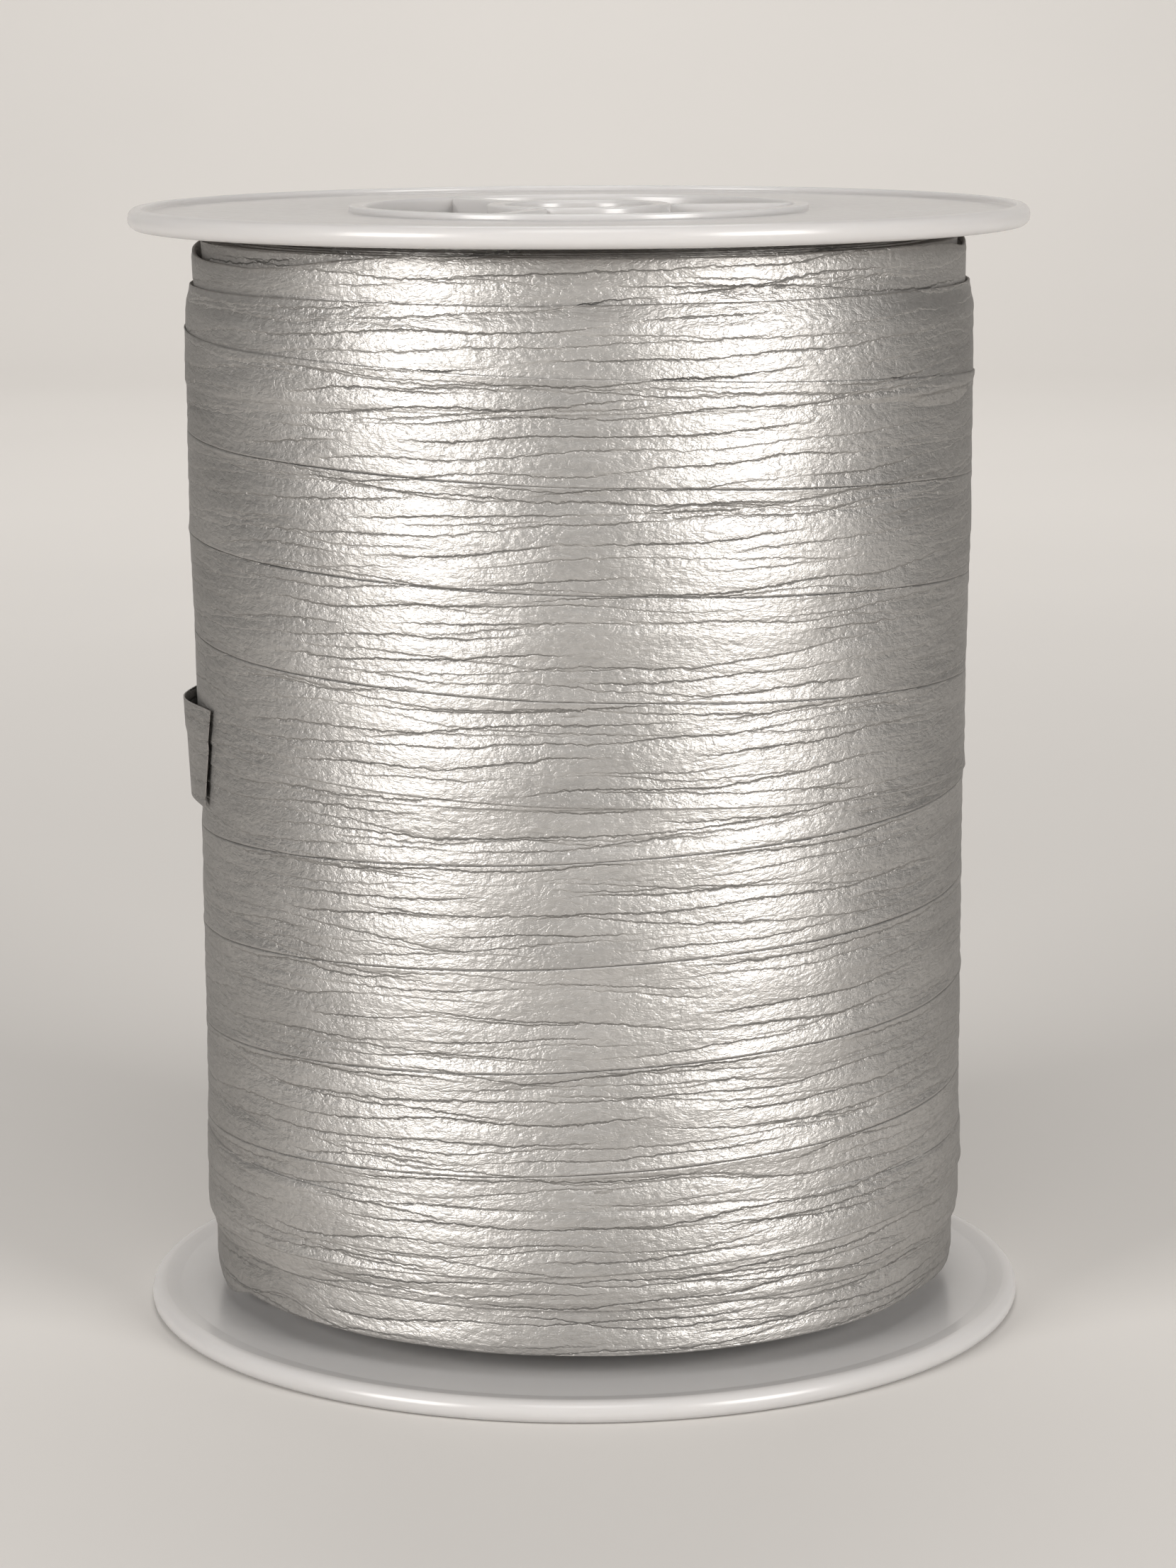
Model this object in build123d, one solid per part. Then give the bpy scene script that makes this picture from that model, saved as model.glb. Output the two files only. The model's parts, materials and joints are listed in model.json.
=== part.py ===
from build123d import *
import os
from math import cos, pi, radians, sin

# Ribbon reel: two moulded plastic halves pushed together, wound with a flat ribbon.
# Millimetres. The reel stands on its lower flange: Z is the reel's axis, Z = 0 the table.
# Seen with +Y pointing away, the ribbon's free end lies on the left, the -X side.

# Driving dimensions of the reel
REEL_HEIGHT = 112.5
FLANGE_RADIUS = 45.0
RIM_WIDTH = 1.4
RIM_HEIGHT = 2.15
RIM_OUTER_ROUND = 0.6
RIM_INNER_ROUND = 0.25
WEB_OUTER_STEP = 0.65
WEB_INNER_STEP = 0.2
BARREL_RADIUS = 22.7
BARREL_WALL = 1.25
MOUTH_ROUND = 0.4
LAP_LENGTH = 6.0
LAP_CLEARANCE = 0.05
BEAD_RADIUS = 0.2
BEAD_FROM_END = 2.0
BORE_RADIUS = 7.5
SLEEVE_WALL = 1.7
SLEEVE_DEPTH = 18.0
BORE_CHAMFER = 0.4
SPOKE_COUNT = 3
SPOKE_THICKNESS = 1.4
SPOKE_DEPTH = 14.0
FIRST_SPOKE_ANGLE = 6.0
THREAD_SLOT_LENGTH = 5.0
THREAD_SLOT_WIDTH = 0.5
THREAD_SLOT_RADIUS = 33.4
THREAD_SLOT_ANGLE = -9.5

# Driving dimensions of the ribbon
RIBBON_WIDTH = 10.0
RIBBON_THICKNESS = 0.13
TAPE_THICKNESS = 0.08
TAPE_WIDTH = 15.0
TAPE_LENGTH = 25.0
FIRST_TURN_MIDDLE = 56.0
FIRST_TURN_GAP_ANGLE = 15.0
PACK_RADIUS = 38.2
PACK_BOTTOM = 4.4
PACK_TOP = 109.4
INNER_PACK_RADIUS = 28.0
INNER_PACK_CLEARANCE = 0.5
OUTER_RADIUS = 39.2
OUTER_BOTTOM = 9.2
OUTER_TOP = 105.0
TAIL_BOTTOM = 53.5
TAIL_ROOT_ANGLE = 169.0
TAIL_END_ANGLE = 202.0
TAIL_GAP = 0.12
TAIL_END_GAP = 0.4
TAIL_BULGE = 1.3
TAIL_CUT_SLANT = 2.2
LAST_TURN_ANGLE = 340.0

# Sizes that follow from them
MIDDLE = REEL_HEIGHT / 2
BARREL_BORE_RADIUS = BARREL_RADIUS - BARREL_WALL
SLEEVE_RADIUS = BORE_RADIUS + SLEEVE_WALL
WEB_INNER_Z = RIM_HEIGHT - WEB_INNER_STEP
LAST_TURN_RADIUS = OUTER_RADIUS + RIBBON_THICKNESS

# Allowances: how near two sizes count as equal, how far a cutter overshoots, the tape before its start
SAME_SIZE = 1e-4
OVERSHOOT = 1.0
TAPE_LEAD_SHARE = 1 / 3


def at(radius, angle, z=0.0):
    """The point at a radius and an angle, in degrees, from the reel's axis."""
    return (radius * cos(radians(angle)), radius * sin(radians(angle)), z)


def ring(inner, outer, bottom, top):
    """A plain ring on the reel's axis."""
    return Pos(0, 0, bottom) * extrude(Circle(outer) - Circle(inner), amount=top - bottom)


def turned(*corners):
    """A solid of revolution from its (radius, z) corners."""
    outline = Polyline(*corners, close=True)
    return revolve(Plane.XZ * make_face(outline), axis=Axis.Z)


def circles_at(solid, radius, z):
    """The solid's circular edges of one radius at one height."""
    found = []
    for edge in solid.edges().filter_by(GeomType.CIRCLE):
        if abs(edge.radius - radius) < SAME_SIZE and abs(edge.center().Z - z) < SAME_SIZE:
            found.append(edge)
    return found


def turned_over(solid):
    """The lower half's place becomes the upper half's."""
    return Pos(0, 0, REEL_HEIGHT) * Rot(180, 0, 0) * solid


def arc_band(inner, outer, bottom, top, start, sweep):
    """A band that lies round part of a cylinder, from one angle through a sweep."""
    corners = [(inner, bottom), (outer, bottom), (outer, top), (inner, top)]
    face = make_face(Polyline(*corners, close=True))
    return Rot(0, 0, start) * revolve(Plane.XZ * face, axis=Axis.Z, revolution_arc=sweep)


def flange():
    """The lower flange: a thin web with a thicker, rounded rim."""
    rim_inside = FLANGE_RADIUS - RIM_WIDTH
    disc = turned(
        (BARREL_RADIUS, WEB_OUTER_STEP),
        (rim_inside, WEB_OUTER_STEP),
        (rim_inside, 0),
        (FLANGE_RADIUS, 0),
        (FLANGE_RADIUS, RIM_HEIGHT),
        (rim_inside, RIM_HEIGHT),
        (rim_inside, WEB_INNER_Z),
        (BARREL_RADIUS, WEB_INNER_Z),
    )
    outer_edges = circles_at(disc, FLANGE_RADIUS, 0) + circles_at(disc, FLANGE_RADIUS, RIM_HEIGHT)
    disc = fillet(outer_edges, radius=RIM_OUTER_ROUND)
    return fillet(circles_at(disc, rim_inside, 0), radius=RIM_INNER_ROUND)


def thread_slot():
    """The short slot in the upper web."""
    cutter = Box(THREAD_SLOT_LENGTH, THREAD_SLOT_WIDTH, 2 * RIM_HEIGHT)
    place = Pos(*at(THREAD_SLOT_RADIUS, THREAD_SLOT_ANGLE, REEL_HEIGHT))
    return place * Rot(0, 0, THREAD_SLOT_ANGLE) * cutter


def bead(radius, z):
    """A ring of round section, for the snap bead and its groove."""
    return Pos(0, 0, z) * Torus(radius, BEAD_RADIUS)


def spigot_barrel():
    """The lower half barrel: its upper end is turned down outside to a spigot with a snap bead."""
    spigot_radius = BARREL_BORE_RADIUS + BARREL_WALL / 2
    shoulder = MIDDLE - LAP_LENGTH / 2
    top = MIDDLE + LAP_LENGTH / 2
    barrel = turned(
        (BARREL_BORE_RADIUS, 0),
        (BARREL_RADIUS, 0),
        (BARREL_RADIUS, shoulder),
        (spigot_radius, shoulder),
        (spigot_radius, top),
        (BARREL_BORE_RADIUS, top),
    )
    barrel = fillet(circles_at(barrel, BARREL_BORE_RADIUS, 0), radius=MOUTH_ROUND)
    return barrel + bead(spigot_radius, top - BEAD_FROM_END)


def socket_barrel():
    """The upper half barrel: its lower end is bored out to a socket with a groove for the bead."""
    socket_radius = BARREL_BORE_RADIUS + BARREL_WALL / 2 + LAP_CLEARANCE
    bottom = MIDDLE - LAP_LENGTH / 2 + LAP_CLEARANCE
    seat = MIDDLE + LAP_LENGTH / 2 + LAP_CLEARANCE
    barrel = turned(
        (BARREL_BORE_RADIUS, REEL_HEIGHT),
        (BARREL_RADIUS, REEL_HEIGHT),
        (BARREL_RADIUS, bottom),
        (socket_radius, bottom),
        (socket_radius, seat),
        (BARREL_BORE_RADIUS, seat),
    )
    barrel = fillet(circles_at(barrel, BARREL_BORE_RADIUS, REEL_HEIGHT), radius=MOUTH_ROUND)
    groove_z = MIDDLE + LAP_LENGTH / 2 - BEAD_FROM_END
    groove = Pos(0, 0, groove_z) * Torus(socket_radius - LAP_CLEARANCE, BEAD_RADIUS + LAP_CLEARANCE)
    return barrel - groove


def hub():
    """The lower hub: a spindle sleeve carried in the barrel's mouth by radial spokes."""
    sleeve = ring(BORE_RADIUS, SLEEVE_RADIUS, 0, SLEEVE_DEPTH)
    sleeve = chamfer(circles_at(sleeve, BORE_RADIUS, 0), length=BORE_CHAMFER)
    from_axis = (Align.MIN, Align.CENTER, Align.MIN)
    spokes = Part()
    for number in range(SPOKE_COUNT):
        angle = -FIRST_SPOKE_ANGLE - number * 360 / SPOKE_COUNT
        spoke = Box(BARREL_RADIUS, SPOKE_THICKNESS, SPOKE_DEPTH, align=from_axis)
        spokes += Rot(0, 0, angle) * spoke
    spokes &= ring(SLEEVE_RADIUS - SLEEVE_WALL / 2, BARREL_BORE_RADIUS, 0, SPOKE_DEPTH)
    mouth = turned(
        (BARREL_BORE_RADIUS - MOUTH_ROUND, -OVERSHOOT),
        (BARREL_RADIUS, -OVERSHOOT),
        (BARREL_RADIUS, MOUTH_ROUND),
        (BARREL_BORE_RADIUS, MOUTH_ROUND),
        (BARREL_BORE_RADIUS - MOUTH_ROUND, 0),
    )
    return sleeve + (spokes - mouth)


def first_turn():
    """The ribbon's first turn, laid on the barrel."""
    bottom = FIRST_TURN_MIDDLE - RIBBON_WIDTH / 2
    sweep = 360 - FIRST_TURN_GAP_ANGLE
    outer = BARREL_RADIUS + RIBBON_THICKNESS
    return arc_band(BARREL_RADIUS, outer, bottom, bottom + RIBBON_WIDTH, 0, sweep)


def start_tape():
    """The tab of tape that holds the ribbon's inner end on the barrel."""
    inner = BARREL_RADIUS + RIBBON_THICKNESS
    bottom = FIRST_TURN_MIDDLE - TAPE_WIDTH / 2
    sweep = TAPE_LENGTH / inner * 180 / pi
    top = bottom + TAPE_WIDTH
    return arc_band(inner, inner + TAPE_THICKNESS, bottom, top, -sweep * TAPE_LEAD_SHARE, sweep)


def pack():
    """The wound ribbon below the outer layers, less the room that the first turn and tape take."""
    inner_bottom = WEB_INNER_Z + INNER_PACK_CLEARANCE
    inner_top = REEL_HEIGHT - WEB_INNER_Z - INNER_PACK_CLEARANCE
    wound = turned(
        (BARREL_RADIUS, inner_bottom),
        (INNER_PACK_RADIUS, inner_bottom),
        (PACK_RADIUS, PACK_BOTTOM),
        (PACK_RADIUS, PACK_TOP),
        (INNER_PACK_RADIUS, inner_top),
        (BARREL_RADIUS, inner_top),
    )
    return wound - first_turn() - start_tape()


def last_turn():
    """The ribbon's last turn, laid on the outer layers and ending where the free end lifts off."""
    start = TAIL_ROOT_ANGLE - LAST_TURN_ANGLE
    top = TAIL_BOTTOM + RIBBON_WIDTH
    return arc_band(OUTER_RADIUS, LAST_TURN_RADIUS, TAIL_BOTTOM, top, start, LAST_TURN_ANGLE)


def tail():
    """The ribbon's free end: it springs off the winding in one shallow arch and is cut at a slant."""
    middle_angle = (TAIL_ROOT_ANGLE + TAIL_END_ANGLE) / 2
    root_angle = TAIL_ROOT_ANGLE + TAIL_GAP / LAST_TURN_RADIUS * 180 / pi
    root_radius = OUTER_RADIUS + TAIL_GAP
    middle_radius = LAST_TURN_RADIUS + TAIL_BULGE
    end_radius = LAST_TURN_RADIUS + TAIL_END_GAP
    inside = ThreePointArc(
        at(root_radius, root_angle),
        at(middle_radius, middle_angle),
        at(end_radius, TAIL_END_ANGLE),
    )
    outside = ThreePointArc(
        at(root_radius + RIBBON_THICKNESS, root_angle),
        at(middle_radius + RIBBON_THICKNESS, middle_angle),
        at(end_radius + RIBBON_THICKNESS, TAIL_END_ANGLE),
    )
    root_line = Line(inside @ 0, outside @ 0)
    end_line = Line(inside @ 1, outside @ 1)
    outline = make_face([inside, end_line, outside, root_line])
    strip = Pos(0, 0, TAIL_BOTTOM) * extrude(outline, amount=RIBBON_WIDTH)
    end_y = at(end_radius, TAIL_END_ANGLE)[1]
    low = TAIL_BOTTOM - OVERSHOOT
    high = TAIL_BOTTOM + RIBBON_WIDTH + OVERSHOOT
    slant = make_face(
        Polyline(
            (end_y - OVERSHOOT, low),
            (end_y + TAIL_CUT_SLANT, low),
            (end_y, high),
            (end_y - OVERSHOOT, high),
            close=True,
        )
    )
    return strip - extrude(Plane.YZ * slant, amount=FLANGE_RADIUS, both=True)


def main():
    os.makedirs("parts", exist_ok=True)
    nodes = {
        "lower_half_flange": flange(),
        "lower_half_barrel": spigot_barrel(),
        "lower_half_hub": hub(),
        "upper_half_flange": turned_over(flange()) - thread_slot(),
        "upper_half_barrel": socket_barrel(),
        "upper_half_hub": turned_over(hub()),
        "ribbon_first_turn": first_turn(),
        "ribbon_start_tape": start_tape(),
        "ribbon_pack": pack(),
        "ribbon_outer_layers": ring(PACK_RADIUS, OUTER_RADIUS, OUTER_BOTTOM, OUTER_TOP),
        "ribbon_last_turn": last_turn(),
        "ribbon_tail": tail(),
    }
    for name, solid in nodes.items():
        export_step(solid, f"parts/{name}.step")


main()
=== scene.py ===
"""A reel of silver curling ribbon: its plastic reel, its wound ribbon with a loose end, and a plain stage."""

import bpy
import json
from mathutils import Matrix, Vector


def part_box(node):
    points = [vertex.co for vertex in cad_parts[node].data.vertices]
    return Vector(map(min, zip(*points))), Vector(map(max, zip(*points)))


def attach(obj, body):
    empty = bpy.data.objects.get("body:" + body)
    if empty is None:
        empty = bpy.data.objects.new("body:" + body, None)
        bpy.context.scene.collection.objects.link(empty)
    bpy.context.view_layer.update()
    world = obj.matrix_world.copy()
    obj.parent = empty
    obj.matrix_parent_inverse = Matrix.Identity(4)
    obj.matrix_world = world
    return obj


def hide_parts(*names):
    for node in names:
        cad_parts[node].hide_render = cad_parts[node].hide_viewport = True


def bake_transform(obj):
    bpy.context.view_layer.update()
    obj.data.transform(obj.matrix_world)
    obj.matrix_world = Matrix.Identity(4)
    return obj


bl_info = {
    "name": "Ribbon Reel",
    "version": (1, 0, 0),
    "blender": (4, 5, 0),
    "location": "View3D > Sidebar > Ribbon Reel",
    "description": "Builds a wound ribbon reel on its packed frame, with a plain stage",
    "category": "Object",
}

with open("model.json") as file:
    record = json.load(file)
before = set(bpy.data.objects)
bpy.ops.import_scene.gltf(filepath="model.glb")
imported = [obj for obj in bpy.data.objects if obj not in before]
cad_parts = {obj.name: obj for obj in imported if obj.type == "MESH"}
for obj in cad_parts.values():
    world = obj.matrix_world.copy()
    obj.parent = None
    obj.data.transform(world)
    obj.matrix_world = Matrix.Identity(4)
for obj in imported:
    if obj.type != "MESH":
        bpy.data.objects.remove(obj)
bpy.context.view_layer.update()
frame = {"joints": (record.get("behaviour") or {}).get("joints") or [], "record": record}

import json
from math import atan2, cos, pi, radians, sin
from random import Random

import bmesh
import bpy
from bpy.props import FloatProperty, FloatVectorProperty, IntProperty, PointerProperty
from mathutils import Matrix, Vector

MM = 0.001

LOWER_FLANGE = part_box("lower_half_flange")
UPPER_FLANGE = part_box("upper_half_flange")
LOWER_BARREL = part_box("lower_half_barrel")
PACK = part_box("ribbon_pack")
OUTER_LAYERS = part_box("ribbon_outer_layers")
FREE_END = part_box("ribbon_tail")
HINGE = next(joint for joint in frame["joints"] if joint["name"] == "free_end_lift")
BORE = next(mount for mount in frame["record"]["mounts"] if mount["name"] == "spindle_bore")

# The ends of the pack's outer turns. Its inner ones reach nearer to the flanges.
PACK_LOW = 4.4 * MM
PACK_HIGH = UPPER_FLANGE[1].z - 3.1 * MM


# ---------------------------------------------------------------- node trees as expressions


class Wire:
    """A node's output. Arithmetic on it adds Math nodes to its tree."""

    def __init__(self, net, output):
        self.net = net
        self.output = output

    def math(self, operation, *others):
        values = dict(enumerate((self,) + others))
        return self.net.add("ShaderNodeMath", {"operation": operation}, values)

    def __add__(self, other):
        return self.math("ADD", other)

    def __radd__(self, other):
        return self.math("ADD", other)

    def __sub__(self, other):
        return self.math("SUBTRACT", other)

    def __rsub__(self, other):
        return self.net.add("ShaderNodeMath", {"operation": "SUBTRACT"}, {0: other, 1: self})

    def __mul__(self, other):
        return self.math("MULTIPLY", other)

    def __rmul__(self, other):
        return self.math("MULTIPLY", other)

    def __truediv__(self, other):
        return self.math("DIVIDE", other)

    def __rtruediv__(self, other):
        return self.net.add("ShaderNodeMath", {"operation": "DIVIDE"}, {0: other, 1: self})

    def __neg__(self):
        return self.math("MULTIPLY", -1.0)


class Net:
    """A node tree that nodes are added to by type."""

    def __init__(self, tree):
        self.tree = tree

    def add(self, kind, settings=None, inputs=None, out=0):
        """Adds one node, its settings first. Gives the output asked for, or several, or the node for None."""
        node = self.tree.nodes.new(kind)
        for name, value in (settings or {}).items():
            setattr(node, name, value)
        for name, value in (inputs or {}).items():
            if isinstance(value, Wire):
                self.tree.links.new(value.output, node.inputs[name])
            else:
                node.inputs[name].default_value = value
        if out is None:
            return node
        if isinstance(out, tuple):
            return [Wire(self, node.outputs[name]) for name in out]
        return Wire(self, node.outputs[out])

    def smooth_step(self, value, low, high):
        """0 below low and 1 above high, with a smooth rise between."""
        settings = {"interpolation_type": "SMOOTHSTEP"}
        inputs = {"Value": value, "From Min": low, "From Max": high}
        return self.add("ShaderNodeMapRange", settings, inputs)

    def vector(self, x, y, z):
        """A vector from three numbers or wires."""
        return self.add("ShaderNodeCombineXYZ", None, {0: x, 1: y, 2: z})

    def shifted(self, place, by):
        """A place moved by an (x, y, z)."""
        return self.add("ShaderNodeVectorMath", {"operation": "ADD"}, {0: place, 1: by})

    def noise(self, place, scale, detail=2.0, roughness=0.5, distortion=0.0):
        """Noise about 0.5 at a place in metres. A larger scale makes it finer."""
        inputs = {
            "Vector": place,
            "Scale": scale,
            "Detail": detail,
            "Roughness": roughness,
            "Distortion": distortion,
        }
        return self.add("ShaderNodeTexNoise", None, inputs)


# ---------------------------------------------------------------- settings


def length_property(label, text, default):
    """A length in metres."""
    return FloatProperty(name=label, description=text, default=default, unit="LENGTH", precision=5)


def colour_property(label, text, default):
    """A colour as linear red, green and blue."""
    return FloatVectorProperty(
        name=label, description=text, default=default, subtype="COLOR", min=0, max=1
    )


class ReelSettings(bpy.types.PropertyGroup):
    """Sizes and colour of the two moulded reel halves."""

    height: length_property("Height", "Over both flanges", UPPER_FLANGE[1].z)
    flange_radius: length_property("Flange Radius", "Of both flanges", LOWER_FLANGE[1].x)
    rim_height: length_property("Rim Height", "Of the rim along the axis", LOWER_FLANGE[1].z)
    rim_width: length_property("Rim Width", "Of the thicker rim", 1.4 * MM)
    rim_round: length_property("Rim Round", "Of the rim's outer edges", 0.98 * MM)
    outer_step: length_property("Outer Step", "From the rim down to the web outside", 0.65 * MM)
    inner_step: length_property("Inner Step", "From the rim down to the web inside", 0.2 * MM)
    barrel_radius: length_property("Barrel Radius", "Of the barrel outside", LOWER_BARREL[1].x)
    barrel_wall: length_property("Barrel Wall", "Thickness of the barrel", 1.25 * MM)
    bore_radius: length_property("Bore Radius", "Of the spindle bore", BORE["dims"]["r_mm"] * MM)
    sleeve_wall: length_property("Sleeve Wall", "Thickness of the spindle sleeve", 1.7 * MM)
    sleeve_depth: length_property("Sleeve Depth", "Of the sleeve along the axis", 18 * MM)
    spoke_depth: length_property("Spoke Depth", "Of the spokes along the axis", 14 * MM)
    spoke_thickness: length_property("Spoke Thickness", "Of each spoke", 1.4 * MM)
    spokes: IntProperty(name="Spokes", description="Number of spokes in each hub", default=3, min=2, max=12)
    spoke_angle: FloatProperty(
        name="Spoke Angle", description="Of the first spoke", default=radians(6), subtype="ANGLE"
    )
    plastic: colour_property("Plastic", "Colour of the moulded halves", (0.54, 0.53, 0.525))


class RibbonSettings(bpy.types.PropertyGroup):
    """Sizes and colour of the ribbon."""

    width: length_property("Width", "Of the ribbon", FREE_END[1].z - FREE_END[0].z)
    thickness: length_property("Thickness", "Of the ribbon", 0.13 * MM)
    ridge_depth: length_property("Ridge Depth", "Of the edges that show through from below", 0.12 * MM)
    wander: length_property("Wander", "Of the ribbon's edge from its true helix", 0.3 * MM)
    edge_curl: length_property("Edge Curl", "Most that an edge lifts", 0.12 * MM)
    silver: colour_property("Silver", "Colour of the metallic face", (0.55, 0.535, 0.515))


class StageSettings(bpy.types.PropertyGroup):
    """The floor, the lights and the camera."""

    camera_distance: length_property("Camera Distance", "From the reel's axis", 426.9 * MM)
    camera_height: length_property("Camera Height", "Above the floor", 131.6 * MM)
    camera_side: length_property("Camera Side", "Off the reel's axis", 0.63 * MM)
    camera_pitch: FloatProperty(
        name="Camera Pitch", description="Tilt down", default=radians(10.38), subtype="ANGLE"
    )
    camera_roll: FloatProperty(
        name="Camera Roll", description="About its own view", default=radians(0.29), subtype="ANGLE"
    )
    focal_length: FloatProperty(name="Focal Length", description="On 36 mm", default=97.1, unit="CAMERA")
    floor: colour_property("Floor", "Colour of the floor", (0.66, 0.64, 0.615))
    light_power: FloatProperty(name="Light Power", description="Of each lamp", default=4.6, unit="POWER")


# ---------------------------------------------------------------- small helpers


def polar(radius, angle, z=0.0):
    """The point at a radius and an angle about the reel's axis."""
    return Vector((radius * cos(angle), radius * sin(angle), z))


def new_object(name, mesh):
    """A new object, linked to the scene."""
    obj = bpy.data.objects.new(name, mesh)
    bpy.context.scene.collection.objects.link(obj)
    return obj


def shade(obj, material, smooth_angle=None):
    """Gives a piece its one material and smooth shading, sharp past an angle."""
    obj.data.materials.clear()
    obj.data.materials.append(material)
    obj.data.shade_smooth()
    if smooth_angle is not None:
        obj.data.set_sharp_from_angle(angle=smooth_angle)


def finish_piece(obj, body, slot, *nodes):
    """Rides a piece on its body and hides the CAD nodes it stands for; its slot is not used."""
    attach(obj, body)
    if nodes:
        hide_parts(*nodes)


def evaluated_mesh(obj):
    """The plain mesh of an object with its modifiers applied."""
    graph = bpy.context.evaluated_depsgraph_get()
    return bpy.data.meshes.new_from_object(obj.evaluated_get(graph))


def bake_modifiers(obj):
    """Replaces an object's mesh with its modified one, and removes the modifiers."""
    mesh = evaluated_mesh(obj)
    obj.modifiers.clear()
    obj.data = mesh


def mesh_of(name, shape):
    """The mesh of a bmesh, which is freed."""
    mesh = bpy.data.meshes.new(name)
    shape.to_mesh(mesh)
    shape.free()
    return mesh


def shape_with(obj, tools, operation):
    """Joins an object with tools or cuts it with them, and removes the tools."""
    for tool in tools:
        modifier = obj.modifiers.new(tool.name, "BOOLEAN")
        modifier.operation = operation
        modifier.solver = "EXACT"
        modifier.object = tool
    bake_modifiers(obj)
    for tool in tools:
        bpy.data.objects.remove(tool)


def point_outwards(mesh):
    """Turns every face of a closed mesh outwards."""
    shape = bmesh.new()
    shape.from_mesh(mesh)
    bmesh.ops.recalc_face_normals(shape, faces=shape.faces)
    shape.to_mesh(mesh)
    shape.free()


def turned_mesh(name, corners, segments):
    """A ring-shaped solid of revolution from the (radius, z) corners of its section."""
    shape = bmesh.new()
    rings = []
    for number in range(segments):
        angle = 2 * pi * number / segments
        rings.append([shape.verts.new(polar(radius, angle, z)) for radius, z in corners])
    count = len(corners)
    for number, ring in enumerate(rings):
        following = rings[(number + 1) % segments]
        for corner in range(count):
            other = (corner + 1) % count
            shape.faces.new((ring[corner], following[corner], following[other], ring[other]))
    bmesh.ops.recalc_face_normals(shape, faces=shape.faces)
    return mesh_of(name, shape)


def unroll_turned(mesh):
    """Gives a turned mesh a UV map in metres: round the axis, then along and outwards."""
    layer = mesh.uv_layers.new(name="UVMap")
    for polygon in mesh.polygons:
        around = atan2(polygon.center.y, polygon.center.x)
        for loop in polygon.loop_indices:
            x, y, z = mesh.vertices[mesh.loops[loop].vertex_index].co
            radius = (x * x + y * y) ** 0.5
            turn = (atan2(y, x) - around + pi) % (2 * pi) - pi + around
            layer.data[loop].uv = (turn * radius, z + radius)


def rounded(corners, rounds, steps=5):
    """The same outline with the corners named in rounds, {corner: radius}, turned into arcs."""
    outline = []
    count = len(corners)
    for number, corner in enumerate(corners):
        radius = rounds.get(number)
        if not radius:
            outline.append(corner)
            continue
        here = Vector(corner)
        back = (Vector(corners[number - 1]) - here).normalized()
        ahead = (Vector(corners[(number + 1) % count]) - here).normalized()
        half = back.angle(ahead) / 2
        centre = here + (back + ahead).normalized() * (radius / sin(half))
        reach = radius / (sin(half) / cos(half))
        start = here + back * reach
        end = here + ahead * reach
        first = atan2(start.y - centre.y, start.x - centre.x)
        turn = atan2(end.y - centre.y, end.x - centre.x) - first
        turn = (turn + pi) % (2 * pi) - pi
        for step in range(steps + 1):
            angle = first + turn * step / steps
            outline.append((centre.x + radius * cos(angle), centre.y + radius * sin(angle)))
    return outline


# ---------------------------------------------------------------- materials


def new_material(name):
    """A material with an empty tree, and the net that fills the tree."""
    material = bpy.data.materials.new(name)
    material.use_nodes = True
    material.node_tree.nodes.clear()
    return material, Net(material.node_tree)


def close_material(net, shader):
    """Joins a shader to the material's output."""
    net.add("ShaderNodeOutputMaterial", None, {"Surface": shader}, out=None)


def mix_colours(net, factor, first, second):
    """The colour at a factor between two, each an (r, g, b)."""
    settings = {"data_type": "RGBA"}
    inputs = {0: factor, 6: (*first, 1.0), 7: (*second, 1.0)}
    return net.add("ShaderNodeMix", settings, inputs, out=2)


def scaled(colour, factor):
    """A colour made darker or lighter, kept within 1."""
    return tuple(min(1.0, channel * factor) for channel in colour)


# Edges of lower turns that show through the film: (pitch, first height, direction, depth, softness). The
# lengths are in mm, the direction is the way the edge climbs, and the depth is a share of the ridge depth.
SHOWN_EDGES = (
    (10.0, 0.4, 1, 1.0, 1.1),
    (10.0, 2.3, 1, 0.8, 0.8),
    (10.1, 4.6, 1, 1.0, 1.3),
    (10.1, 6.5, 1, 0.7, 0.7),
    (10.0, 8.5, 1, 0.9, 0.9),
    (10.05, 3.5, 1, 0.5, 0.6),
    (10.05, 7.6, 1, 0.5, 0.5),
    (9.4, 1.2, -1, 0.5, 0.6),
    (9.9, 5.4, -1, 0.7, 0.8),
    (10.3, 7.2, -1, 0.4, 0.5),
    (10.7, 9.3, -1, 0.5, 0.6),
)

EDGE_RADIUS = 39 * MM
EDGE_SWAY = 1.7 * MM
FILM_METALLIC = 0.82
FILM_BUMP = 0.14 * MM


def shown_edges(net, angle, height, place):
    """For each family of shown edges: the height from its line down, its strength, depth and softness."""
    families = []
    for number, (pitch, first, direction, depth, softness) in enumerate(SHOWN_EDGES):
        wave = net.noise(net.shifted(place, (0.37 + number, 0, 0)), 80.0, detail=0.0)
        fade = net.noise(net.shifted(place, (0, 0.37 + number, 0)), 60.0, detail=0.0)
        waved = height + (wave - 0.5) * EDGE_SWAY
        turns = waved * (-1.0 / (pitch * MM)) + first / pitch + angle * (direction / (2 * pi))
        below = turns.math("FRACT") * (pitch * MM)
        families.append((below, net.smooth_step(fade, 0.32, 0.6), depth, softness * MM))
    return families


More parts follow.
